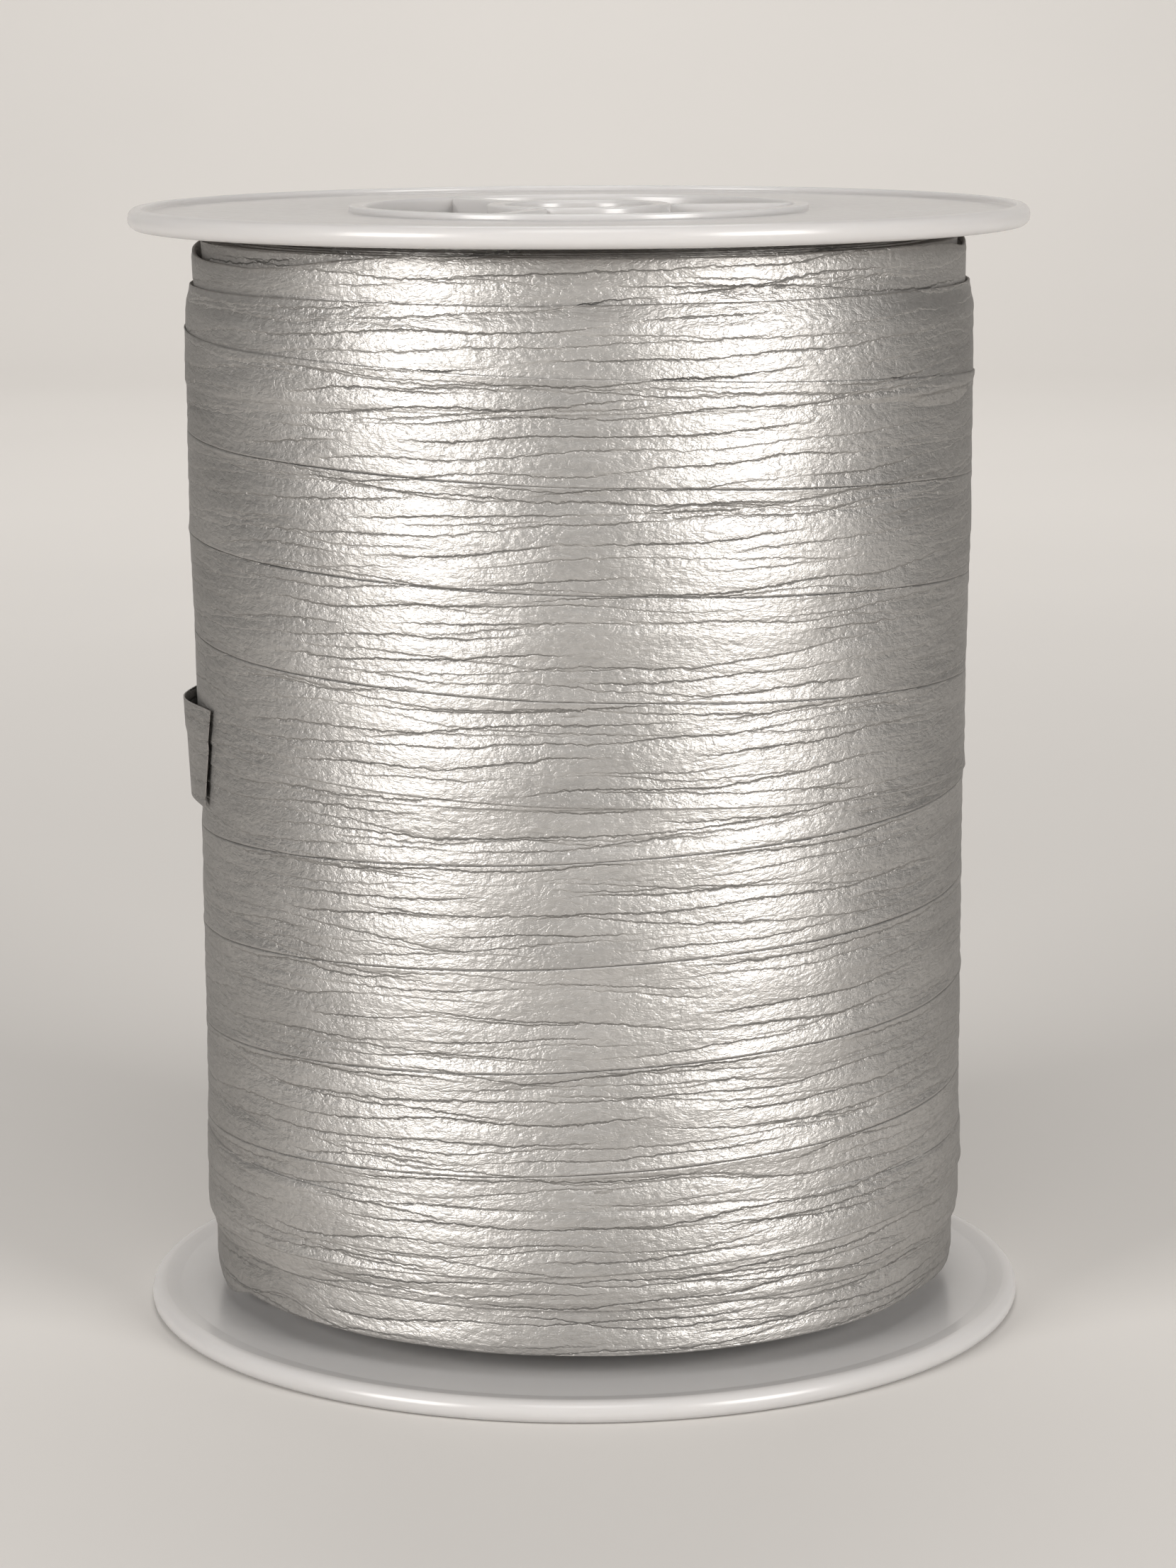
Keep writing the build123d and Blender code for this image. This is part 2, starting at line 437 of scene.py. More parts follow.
def ribbon_material(colour):
    """Silver film: metallic, grained, creased along its length, with painted shade darkening its colour where
    a lower edge shows through and along its folds.
    """
    material, net = new_material("silver_ribbon")
    unrolled = net.add("ShaderNodeUVMap", {"uv_map": "UVMap"})
    along, across, _ = net.add("ShaderNodeSeparateXYZ", None, {0: unrolled}, out=(0, 1, 2))
    spot = net.add("ShaderNodeTexCoord", out="Object")
    x, y, z = net.add("ShaderNodeSeparateXYZ", None, {0: spot}, out=(0, 1, 2))
    scale = EDGE_RADIUS / (x * x + y * y).math("SQRT")
    place = net.vector(x * scale, y * scale, z)
    angle = y.math("ARCTAN2", x)

    jagged = net.noise(net.vector(along * 0.7, across, 0.0), 800.0, detail=3.0, roughness=0.7) - 0.5
    broken = net.noise(net.vector(along, across * 1.6, 0.5), 420.0, detail=3.0, roughness=0.7)
    breaks = net.smooth_step(broken, 0.42, 0.56)
    crease = 0.0
    dent = 0.0
    for below, strength, depth, softness in shown_edges(net, angle, z + jagged * (0.8 * MM), place):
        line = 1.0 - net.smooth_step((below - 0.16 * MM).math("ABSOLUTE"), 0.02 * MM, 0.14 * MM)
        ledge = net.smooth_step(below, 0.0, 0.22 * MM)
        weight = strength * depth
        crease = line * weight + crease
        dent = ledge * (below * (-1.0 / softness)).math("EXPONENT") * weight + dent
    crease = (crease * breaks).math("MINIMUM", 1.0)

    crumpled = net.vector(along * 0.45, across, 0.9)
    crumple = net.noise(crumpled, 650.0, detail=3.0, roughness=0.6, distortion=0.8)
    fold = 1.0 - net.smooth_step((crumple - 0.5).math("ABSOLUTE"), 0.0, 0.05)
    streaked = net.vector(along * 0.16, across, 0.0)
    streaks = net.noise(streaked, 1100.0, detail=3.0, roughness=0.6, distortion=0.4)
    creased = net.vector(along * 0.3, across, 0.3)
    creases = net.noise(creased, 420.0, detail=4.0, roughness=0.65, distortion=1.2)
    grain = net.noise(net.vector(along * 0.7, across, 0.1), 1700.0, detail=3.0, roughness=0.6)
    cloud = net.noise(net.vector(along * 0.4, across, 0.7), 90.0, detail=3.0)
    # Random cloud and grain tone, plus painted shade: the colour is darkened along the shown edge lines and
    # the folds, standing in for the shadow in them.
    tone_and_painted_shade = cloud * 0.5 + grain * 0.45 + 0.13 - crease * 0.22 - fold * 0.06
    base = mix_colours(net, tone_and_painted_shade, scaled(colour, 0.4), scaled(colour, 1.15))
    roughness = 0.36 + streaks * 0.1 + cloud * 0.06 + crease * 0.2
    height = streaks * 0.5 + creases * 0.9 + grain * 0.8 - dent * 2.0 - crease * 0.5 - fold * 0.1
    normal = net.add("ShaderNodeBump", None, {"Strength": 1.0, "Distance": FILM_BUMP, "Height": height})
    inputs = {
        "Base Color": base,
        "Metallic": FILM_METALLIC,
        "Roughness": roughness,
        "Specular Tint": (0.4, 0.4, 0.4, 1.0),
        "Normal": normal,
    }
    close_material(net, net.add("ShaderNodeBsdfPrincipled", None, inputs))
    return material


def film_material(colour):
    """The same film laid smooth, on a part with no unrolled map."""
    material, net = new_material("silver_film")
    place = net.add("ShaderNodeTexCoord", out="Object")
    cloud = net.noise(place, 300.0, detail=3.0)
    normal = net.add("ShaderNodeBump", None, {"Strength": 0.3, "Distance": 0.05 * MM, "Height": cloud})
    base = mix_colours(net, cloud, scaled(colour, 0.93), scaled(colour, 1.05))
    inputs = {"Base Color": base, "Metallic": FILM_METALLIC, "Roughness": 0.38, "Normal": normal}
    close_material(net, net.add("ShaderNodeBsdfPrincipled", None, inputs))
    return material


def plastic_material(colour):
    """Milky moulded plastic: glossy, slightly translucent, with faint flow marks."""
    material, net = new_material("milky_plastic")
    place = net.add("ShaderNodeTexCoord", out="Object")
    flow = net.noise(place, 60.0, detail=3.0)
    fine = net.noise(place, 900.0, detail=3.0, roughness=0.6)
    base = mix_colours(net, flow, scaled(colour, 0.97), scaled(colour, 1.02))
    roughness = 0.2 + fine * 0.08
    height = flow * 0.8 + fine * 0.05
    normal = net.add("ShaderNodeBump", None, {"Strength": 0.15, "Distance": 0.2 * MM, "Height": height})
    inputs = {
        "Base Color": base,
        "Roughness": roughness,
        "IOR": 1.5,
        "Subsurface Weight": 0.7,
        "Subsurface Radius": (1.0, 0.95, 0.9),
        "Subsurface Scale": 3 * MM,
        "Normal": normal,
    }
    close_material(net, net.add("ShaderNodeBsdfPrincipled", None, inputs))
    return material


def tape_material():
    """Clear-backed adhesive tape, yellowed by its glue."""
    material, net = new_material("adhesive_tape")
    place = net.add("ShaderNodeTexCoord", out="Object")
    mottle = net.noise(place, 350.0, detail=3.0)
    base = mix_colours(net, mottle, (0.74, 0.66, 0.48), (0.83, 0.77, 0.62))
    roughness = 0.3 + mottle * 0.15
    inputs = {"Base Color": base, "Roughness": roughness}
    close_material(net, net.add("ShaderNodeBsdfPrincipled", None, inputs))
    return material


def floor_material(colour):
    """A plain pale matt floor."""
    material, net = new_material("pale_floor")
    place = net.add("ShaderNodeTexCoord", out="Object")
    mottle = net.noise(place, 8.0, detail=2.0)
    base = mix_colours(net, mottle, scaled(colour, 0.98), scaled(colour, 1.02))
    inputs = {"Base Color": base, "Roughness": 0.85}
    close_material(net, net.add("ShaderNodeBsdfPrincipled", None, inputs))
    return material


# ---------------------------------------------------------------- the wound ribbon, as Geometry Nodes

# Where the edges of the end turns leave the level: (angle, reach, rise of low edge, rise of top edge). The
# angles are in degrees and the rises in mm.
EDGE_WAVES = (
    (199.0, 7.0, -1.0, 0.05),
    (219.0, 9.0, 1.9, 0.0),
    (199.0, 22.0, 0.0, -1.5),
    (221.0, 14.0, 0.0, -0.9),
    (341.0, 10.0, 1.3, 0.0),
    (350.0, 9.0, 0.0, -0.8),
)

WINDING_INPUTS = (
    ("Radius", "Float", 39.0 * MM),
    ("Profile", "Float", 1.0),
    ("Start Angle", "Float", 0.0),
    ("Start Height", "Float", 14.2 * MM),
    ("End Height", "Float", 60 * MM),
    ("Turns", "Float", 5.0),
    ("Level Turns", "Float", 1.0),
    ("Late Level Turns", "Float", 0.0),
    ("Width", "Float", 10 * MM),
    ("Thickness", "Float", 0.13 * MM),
    ("Ridge Depth", "Float", 0.1 * MM),
    ("Wander", "Float", 0.3 * MM),
    ("Edge Curl", "Float", 0.1 * MM),
    ("Low Edge Waves", "Float", 0.0),
    ("Top Edge Waves", "Float", 0.0),
    ("Seed", "Float", 0.0),
    ("Segments", "Int", 250),
    ("Rows", "Int", 49),
    ("Back Rows", "Int", 3),
)


def helix_height(turn, ports):
    """The height of the ribbon's middle at a turn count: level, then a steady climb, then level."""
    climb = (ports["Turns"] - ports["Level Turns"] - ports["Late Level Turns"]).math("MAXIMUM", 0.01)
    share = (turn - ports["Level Turns"]) / climb
    share = share.math("MAXIMUM", 0.0).math("MINIMUM", 1.0)
    return ports["Start Height"] + share * (ports["End Height"] - ports["Start Height"])


def layer_profile(z, step):
    """How far the outer layers stand off their radius at a height z, a number or a wire with its own step."""
    bulge = step(z, 64 * MM, 84 * MM) * (0.38 * MM)
    top = step(z, 102.4 * MM, 105.4 * MM) * (0.55 * MM)
    bottom = (1.0 - step(z, 8.8 * MM, 11.4 * MM)) * (0.5 * MM)
    return bulge - top - bottom


def winding_tree():
    """Turns of ribbon laid on a cylinder as one closed strip, each lapping the one before where they meet."""
    tree = bpy.data.node_groups.new("Ribbon Winding", "GeometryNodeTree")
    for label, kind, value in WINDING_INPUTS + (("Material", "Material", None),):
        socket = tree.interface.new_socket(name=label, in_out="INPUT", socket_type="NodeSocket" + kind)
        if value is not None:
            socket.default_value = value
    tree.interface.new_socket(name="Geometry", in_out="OUTPUT", socket_type="NodeSocketGeometry")
    net = Net(tree)
    labels = tuple(label for label, _, _ in WINDING_INPUTS) + ("Material",)
    ports = dict(zip(labels, net.add("NodeGroupInput", out=labels)))

    steps = (ports["Turns"] * ports["Segments"]).math("ROUND")
    ring = ports["Rows"] + ports["Back Rows"]
    line = net.add("GeometryNodeCurvePrimitiveLine")
    path = net.add("GeometryNodeResampleCurve", None, {"Curve": line, "Count": steps + 1.0})
    profile = net.add("GeometryNodeCurvePrimitiveCircle", None, {"Resolution": ring})
    swept = {"Curve": path, "Profile Curve": profile, "Fill Caps": True}
    strip = net.add("GeometryNodeCurveToMesh", None, swept)

    index = net.add("GeometryNodeInputIndex")
    step = ((index + 0.5) / ring).math("FLOOR")
    row = index - step * ring
    turn = step * ports["Turns"] / steps
    angle = turn * (2 * pi) + ports["Start Angle"]
    is_back = row.math("GREATER_THAN", ports["Rows"] - 0.5)
    front_row = row / (ports["Rows"] - 1.0) * 2.0 - 1.0
    back_row = 1.0 - (row - ports["Rows"]) / (ports["Back Rows"] - 1.0) * 2.0
    across = front_row * (1.0 - is_back) + back_row * is_back

    east = angle.math("COSINE")
    north = angle.math("SINE")
    middle = helix_height(turn, ports)
    ring_place = net.vector(east * ports["Radius"], north * ports["Radius"], middle * 0.15 + ports["Seed"])
    sway = net.noise(ring_place, 38.0, detail=2.0) - 0.5
    height = middle + across * ports["Width"] * 0.5 + sway * ports["Wander"] * 2.0
    rising = net.smooth_step(turn, 0.95, 1.02)
    low_edge = net.smooth_step(-across, -0.2, 1.0) * ports["Low Edge Waves"] * rising
    top_edge = net.smooth_step(across, -0.2, 1.0) * ports["Top Edge Waves"] * rising
    flare = 0.0
    for wave_angle, reach, low_rise, top_rise in EDGE_WAVES:
        nearness = (angle - radians(wave_angle)).math("COSINE") - 1.0
        bump = (nearness / (1 - cos(radians(reach)))).math("EXPONENT")
        height = height + bump * (low_edge * (low_rise * MM) + top_edge * (top_rise * MM))
        flare = bump * (low_edge * abs(low_rise) + top_edge * abs(top_rise)) + flare

    place = net.vector(east * EDGE_RADIUS, north * EDGE_RADIUS, height)
    shift = (middle - helix_height(turn - 1.0, ports)) / ports["Width"]
    climb_sign = (ports["End Height"] - ports["Start Height"]).math("SIGN")
    clear = net.smooth_step(shift.math("ABSOLUTE") * 2.0 - 1.0 + across * climb_sign, -0.12, 0.0)
    lap = (1.0 - clear) * rising

    near_end = net.smooth_step(ports["Turns"] - turn, 0.0, 0.04)
    dips = 0.0
    for below, strength, depth, softness in shown_edges(net, angle, height, place):
        ledge = net.smooth_step(below, 0.0, 0.7 * MM)
        tail_off = (below * (-1.0 / (softness + 0.5 * MM))).math("EXPONENT")
        dips = dips - ledge * tail_off * strength * depth
    curl_noise = net.noise(net.vector(east * ports["Radius"], north * ports["Radius"], height * 3.0), 60.0)
    at_edge = across.math("ABSOLUTE").math("POWER", 10.0)
    curl = at_edge * net.smooth_step(curl_noise, 0.42, 0.68) * ports["Edge Curl"]
    swell = (net.noise(place, 55.0, detail=2.0) - 0.5) * (0.16 * MM)
    relief = (dips * ports["Ridge Depth"] + curl + swell) * near_end + flare * (0.12 * MM)

    sunk = (1.0 - rising) * ports["Top Edge Waves"] * (0.7 * MM)
    stand_off = layer_profile(height, net.smooth_step) * ports["Profile"] + lap * ports["Thickness"] - sunk
    back_depth = is_back * (ports["Thickness"] + 0.02 * MM)
    radius = ports["Radius"] + stand_off + relief * (1.0 - is_back) - back_depth
    position = net.vector(east * radius, north * radius, height)
    strip = net.add("GeometryNodeSetPosition", None, {"Geometry": strip, "Position": position})
    unrolled = net.vector(turn * ports["Radius"] * (2 * pi), across * ports["Width"] * 0.5, 0.0)
    on_points = {"domain": "POINT", "data_type": "FLOAT_VECTOR"}
    unrolled = net.add("GeometryNodeFieldOnDomain", on_points, {"Value": unrolled})
    strip = net.add(
        "GeometryNodeStoreNamedAttribute",
        {"data_type": "FLOAT2", "domain": "CORNER"},
        {"Geometry": strip, "Name": "UVMap", "Value": unrolled},
    )
    strip = net.add("GeometryNodeSetShadeSmooth", None, {"Geometry": strip, "Shade Smooth": True})
    strip = net.add("GeometryNodeRealizeInstances", None, {"Geometry": strip})
    strip = net.add("GeometryNodeSetMaterial", None, {"Geometry": strip, "Material": ports["Material"]})
    net.add("NodeGroupOutput", None, {"Geometry": strip}, out=None)
    return tree


def wind(name, tree, values):
    """One length of wound ribbon as a plain mesh piece, from the winding tree and its named inputs."""
    obj = new_object(name, bpy.data.meshes.new(name))
    modifier = obj.modifiers.new("Ribbon Winding", "NODES")
    modifier.node_group = tree
    sockets = tree.interface.items_tree
    identifiers = {socket.name: socket.identifier for socket in sockets if socket.in_out == "INPUT"}
    for label, value in values.items():
        modifier[identifiers[label]] = value
    bake_modifiers(obj)
    point_outwards(obj.data)
    return obj


# ---------------------------------------------------------------- the stage

LIGHT_TINT = (1.0, 0.975, 0.95)
WORLD_TINT = (0.98, 0.99, 1.0, 1.0)
WORLD_STRENGTH = 0.06
REEL_AIM = Vector((0, 0, 0.055))
BACKDROP_AIM = Vector((0, 1.5, 0.3))

# (name, angle in degrees, height, distance, width, tallness, share of the light power, what it points at)
LAMPS = (
    ("lamp_left", -136, 0.27, 0.72, 0.30, 0.34, 0.92, REEL_AIM),
    ("lamp_right", -44, 0.27, 0.72, 0.30, 0.34, 0.96, REEL_AIM),
    ("lamp_overhead", -90, 1.1, 0.6, 0.5, 0.5, 0.6, REEL_AIM),
    ("lamp_backdrop", 90, 1.1, 0.55, 0.6, 0.3, 2.9, BACKDROP_AIM),
)


class REEL_OT_stage(bpy.types.Operator):
    """Floor, lights, world and camera"""

    bl_idname = "reel.stage"
    bl_label = "Stage"

    def execute(self, context):
        settings = context.scene.reel_stage
        self.make_floor(settings)
        self.make_lights(settings)
        self.make_camera(context, settings)
        return {"FINISHED"}

    def make_floor(self, settings):
        """A floor that curves up into a backdrop."""
        reach, front, back, top = 1.6, -1.2, 1.1, 2.2
        turn_radius, turn_steps = 0.5, 24
        outline = [(front, 0.0), (back, 0.0)]
        for step in range(1, turn_steps + 1):
            angle = step / turn_steps * pi / 2
            outline.append((back + turn_radius * sin(angle), turn_radius * (1 - cos(angle))))
        outline.append((back + turn_radius, top))
        shape = bmesh.new()
        left = [shape.verts.new((-reach, y, z)) for y, z in outline]
        right = [shape.verts.new((reach, y, z)) for y, z in outline]
        for number in range(len(outline) - 1):
            shape.faces.new((left[number], right[number], right[number + 1], left[number + 1]))
        floor = new_object("floor", mesh_of("floor", shape))
        shade(floor, floor_material(settings.floor))

    def make_lights(self, settings):
        """Soft lamps on each side, overhead and on the backdrop, and an even world."""
        for name, angle, height, distance, wide, tall, share, target in LAMPS:
            lamp = bpy.data.lights.new(name, "AREA")
            lamp.shape = "RECTANGLE"
            lamp.size = wide
            lamp.size_y = tall
            lamp.energy = settings.light_power * share
            lamp.color = LIGHT_TINT
            obj = new_object(name, lamp)
            obj.location = polar(distance, radians(angle), height)
            obj.rotation_euler = (target - obj.location).to_track_quat("-Z", "Y").to_euler()
        world = bpy.data.worlds.new("even_light")
        world.use_nodes = True
        background = world.node_tree.nodes["Background"]
        background.inputs["Color"].default_value = WORLD_TINT
        background.inputs["Strength"].default_value = WORLD_STRENGTH
        bpy.context.scene.world = world

    def make_camera(self, context, settings):
        """The camera, from its place, pitch and roll."""
        data = bpy.data.cameras.new("camera")
        data.sensor_fit = "AUTO"
        data.sensor_width = 36.0
        data.lens = settings.focal_length
        data.clip_start = 0.01
        data.clip_end = 20.0
        obj = new_object("camera", data)
        tilt = Matrix.Rotation(pi / 2 - settings.camera_pitch, 4, "X")
        roll = Matrix.Rotation(-settings.camera_roll, 4, "Z")
        place = (settings.camera_side, -settings.camera_distance, settings.camera_height)
        obj.matrix_world = Matrix.Translation(place) @ tilt @ roll
        context.scene.camera = obj
        context.scene.view_settings.view_transform = "Standard"


# ---------------------------------------------------------------- the reel halves

THREAD_SLOT_SIZE = (5 * MM, 0.5 * MM, 6 * MM)
THREAD_SLOT_RADIUS = 33.4 * MM
THREAD_SLOT_ANGLE = radians(-9.5)
SHARP_ANGLE = radians(35)


class REEL_OT_halves(bpy.types.Operator):
    """The two moulded reel halves, each one flange, half barrel and spoked hub"""

    bl_idname = "reel.halves"
    bl_label = "Reel Halves"

    def execute(self, context):
        settings = context.scene.reel_halves
        material = plastic_material(settings.plastic)
        for side, node_name in ((1, "lower"), (-1, "upper")):
            obj = self.make_half(settings, node_name + "_reel_half", upper=side < 0)
            shade(obj, material, SHARP_ANGLE)
            nodes = [f"{node_name}_half_{part}" for part in ("flange", "barrel", "hub")]
            finish_piece(obj, "reel", "reel_plastic", *nodes)
        return {"FINISHED"}

    def make_half(self, settings, name, upper):
        """One half, turned over and slotted where it is the upper one."""
        rim_inside = settings.flange_radius - settings.rim_width
        web_top = settings.rim_height - settings.inner_step
        mouth = settings.barrel_radius - settings.barrel_wall
        end = settings.height / 2 - 0.02 * MM
        mouth_rim = settings.barrel_radius + 0.3 * MM
        corners = [
            (mouth, 0),
            (mouth_rim, 0),
            (mouth_rim, settings.outer_step),
            (rim_inside, settings.outer_step),
            (rim_inside, 0),
            (settings.flange_radius, 0),
            (settings.flange_radius, settings.rim_height),
            (rim_inside, settings.rim_height),
            (rim_inside - 1.6 * MM, web_top),
            (settings.barrel_radius, web_top),
            (settings.barrel_radius, end),
            (mouth, end),
        ]
        rounds = {
            0: 0.4 * MM,
            1: 0.2 * MM,
            2: 0.2 * MM,
            3: 0.35 * MM,
            4: 0.3 * MM,
            5: settings.rim_round,
            6: settings.rim_round,
            7: 0.6 * MM,
            8: 1.5 * MM,
            9: 0.6 * MM,
        }
        half = new_object(name, turned_mesh(name, rounded(corners, rounds, steps=4), 256))
        self.add_hub(half, settings)
        if upper:
            turn_over = Matrix.Translation((0, 0, settings.height)) @ Matrix.Rotation(pi, 4, "X")
            half.data.transform(turn_over)
            self.cut_slot(half, settings)
        return half

    def add_hub(self, half, settings):
        """Joins the sleeve and its spokes to the half barrel."""
        outer = settings.bore_radius + settings.sleeve_wall
        corners = [
            (settings.bore_radius, 0),
            (outer, 0),
            (outer, settings.sleeve_depth),
            (settings.bore_radius, settings.sleeve_depth),
        ]
        outline = rounded(corners, {0: 0.4 * MM, 1: 0.25 * MM, 2: 0.2 * MM, 3: 0.2 * MM}, steps=3)
        pieces = [new_object("sleeve", turned_mesh("sleeve", outline, 128))]
        for number in range(settings.spokes):
            angle = -settings.spoke_angle - number * 2 * pi / settings.spokes
            pieces.append(self.spoke(settings, angle, outer))
        shape_with(half, pieces, "UNION")

    def spoke(self, settings, angle, outer):
        """One spoke, from inside the sleeve's wall to inside the barrel's."""
        near = outer - settings.sleeve_wall / 2
        far = settings.barrel_radius - settings.barrel_wall / 2
        half = settings.spoke_thickness / 2
        shape = bmesh.new()
        bmesh.ops.create_cube(shape, size=1.0)
        size = Vector((far - near, 2 * half, settings.spoke_depth - 0.05 * MM))
        centre = Vector(((far + near) / 2, 0, settings.spoke_depth / 2 + 0.1 * MM))
        bmesh.ops.scale(shape, vec=size, verts=shape.verts)
        bmesh.ops.translate(shape, vec=centre, verts=shape.verts)
        edges = [edge for edge in shape.edges if abs(edge.verts[0].co.x - edge.verts[1].co.x) > near / 2]
        bmesh.ops.bevel(shape, geom=edges, offset=0.25 * MM, segments=2, affect="EDGES", profile=0.5)
        bmesh.ops.rotate(shape, cent=(0, 0, 0), matrix=Matrix.Rotation(angle, 3, "Z"), verts=shape.verts)
        return new_object("spoke", mesh_of("spoke", shape))

    def cut_slot(self, half, settings):
        """Cuts the short thread slot through the upper web."""
        turn = Matrix.Rotation(THREAD_SLOT_ANGLE, 3, "Z")
        place = polar(THREAD_SLOT_RADIUS, THREAD_SLOT_ANGLE, settings.height)
        shape = bmesh.new()
        bmesh.ops.create_cube(shape, size=1.0)
        bmesh.ops.scale(shape, vec=THREAD_SLOT_SIZE, verts=shape.verts)
        bmesh.ops.rotate(shape, cent=(0, 0, 0), matrix=turn, verts=shape.verts)
        bmesh.ops.translate(shape, vec=place, verts=shape.verts)
        shape_with(half, [new_object("slot", mesh_of("slot", shape))], "DIFFERENCE")


# ---------------------------------------------------------------- the ribbon

# Angles at which the free end leaves its last turn, and of the top and foot of its slanted cut
FREE_END_START = radians(150)
FREE_END_TOP = radians(202)
FREE_END_FOOT = radians(197)
FREE_END_ARCH = 0.55 * MM
FREE_END_MORE_ARCH = 0.5 * MM
FREE_END_TIP_LIFT = 0.32 * MM
FREE_END_SPREAD = 0.15 * MM
BEND_REACH = radians(4)

UPPER_RADIUS = 39.15 * MM
LOWER_RADIUS = 38.92 * MM
CORE_RADIUS = 38.7 * MM
TOP_TURNS_RADIUS = 38.5 * MM
BOTTOM_TURNS_RADIUS = 38.1 * MM
CORE_SHOULDER = 28 * MM
TURN_PITCH = 10.05 * MM
LATE_LEVEL_TURNS = 0.2


def number_step(value, low, high):
    """The smooth step of plain numbers."""
    share = min(1.0, max(0.0, (value - low) / (high - low)))
    return share * share * (3 - 2 * share)


def hinge_angle():
    """The angle about the reel's axis at which the free end lifts off."""
    x, y, _ = HINGE["pos_m"]
    return atan2(y, x)


class REEL_OT_wound_ribbon(bpy.types.Operator):
    """The wound ribbon: its core, the turns under the outer layers, and the outer layers"""

    bl_idname = "reel.wound_ribbon"
    bl_label = "Wound Ribbon"

    def execute(self, context):
        settings = context.scene.reel_ribbon
        material = ribbon_material(settings.silver)
        self.make_core(material)
        tree = winding_tree()
        shared = {
            "Width": settings.width,
            "Thickness": settings.thickness,
            "Ridge Depth": settings.ridge_depth,
            "Wander": settings.wander,
            "Edge Curl": settings.edge_curl,
            "Material": material,
        }
        replaced = {
            "ribbon_outer_turns_upper": ("ribbon_outer_layers", "ribbon_last_turn"),
            "ribbon_outer_turns_lower": ("ribbon_outer_layers",),
        }
        for name, values in self.lengths(settings).items():
            obj = wind(name, tree, shared | values)
            finish_piece(obj, "reel", "ribbon", *replaced.get(name, ("ribbon_pack",)))
        return {"FINISHED"}

    def lengths(self, settings):
        """The winding inputs of each length of ribbon, by its piece's name."""
        half = settings.width / 2
        end_height = FREE_END[0].z + half
        first_height = OUTER_LAYERS[1].z - half
        upper_turns = 1 + (first_height - end_height) / TURN_PITCH + LATE_LEVEL_TURNS
        bottom_height = OUTER_LAYERS[0].z + half
        hidden_height = end_height + 4.5 * MM
        lower_turns = 2 + (hidden_height - bottom_height) / TURN_PITCH
        return {
            "ribbon_outer_turns_upper": {
                "Radius": UPPER_RADIUS,
                "Start Height": first_height,
                "End Height": end_height,
                "Turns": upper_turns,
                "Late Level Turns": LATE_LEVEL_TURNS,
                "Start Angle": FREE_END_START - upper_turns * 2 * pi,
            },
            "ribbon_outer_turns_lower": {
                "Radius": LOWER_RADIUS,
                "Start Height": bottom_height,
                "End Height": hidden_height,
                "Turns": lower_turns,
                "Late Level Turns": 1.0,
                "Start Angle": radians(90) - lower_turns * 2 * pi,
            },
            "ribbon_top_turns": {
                "Radius": TOP_TURNS_RADIUS,
                "Profile": 0.0,
                "Start Height": PACK_HIGH - half - 0.15 * MM,
                "End Height": PACK_HIGH - half - 0.1 * MM,
                "Turns": 2.0,
                "Start Angle": FREE_END_START,
                "Top Edge Waves": 1.0,
                "Seed": 0.4,
            },
            "ribbon_bottom_turns": {
                "Radius": BOTTOM_TURNS_RADIUS,
                "Profile": 0.0,
                "Start Height": PACK_LOW + half + 0.4 * MM,
                "End Height": PACK_LOW + half,
                "Turns": 2.2,
                "Start Angle": radians(40),
                "Low Edge Waves": 1.0,
                "Seed": 0.9,
            },
        }

    def make_core(self, material):
        """The pack under the turns that show, its ends stepped from turn to turn."""
        chance = Random(11)
        inside = LOWER_BARREL[1].x + 0.3 * MM
        outside = PACK[1].x - 0.65 * MM
        ends = []
        for edge, inner_edge, inwards in ((PACK_LOW, PACK[0].z, 1), (PACK_HIGH, PACK[1].z, -1)):
            corners = []
            radius = inside
            while radius < outside:
                width = chance.uniform(0.4, 1.1) * MM
                following = min(outside, radius + width)
                share = max(0.0, (following - CORE_SHOULDER) / (outside - CORE_SHOULDER))
                z = inner_edge + (edge - inner_edge) * share
                z += inwards * chance.uniform(0.05, 0.45) * MM
                corners += [(radius, z), (following - 0.05 * MM, z)]
                radius = following
            ends.append(corners)
        sleeve = [
            (outside, OUTER_LAYERS[0].z + 0.5 * MM),
            (CORE_RADIUS, OUTER_LAYERS[0].z + 0.8 * MM),
            (CORE_RADIUS, OUTER_LAYERS[1].z - 0.8 * MM),
            (outside, OUTER_LAYERS[1].z - 0.5 * MM),
        ]
        outline = ends[0] + sleeve + ends[1][::-1]
        core = new_object("ribbon_core", turned_mesh("ribbon_core", outline, 192))
        shade(core, material, SHARP_ANGLE)
        unroll_turned(core.data)
        finish_piece(core, "reel", "ribbon", "ribbon_pack")


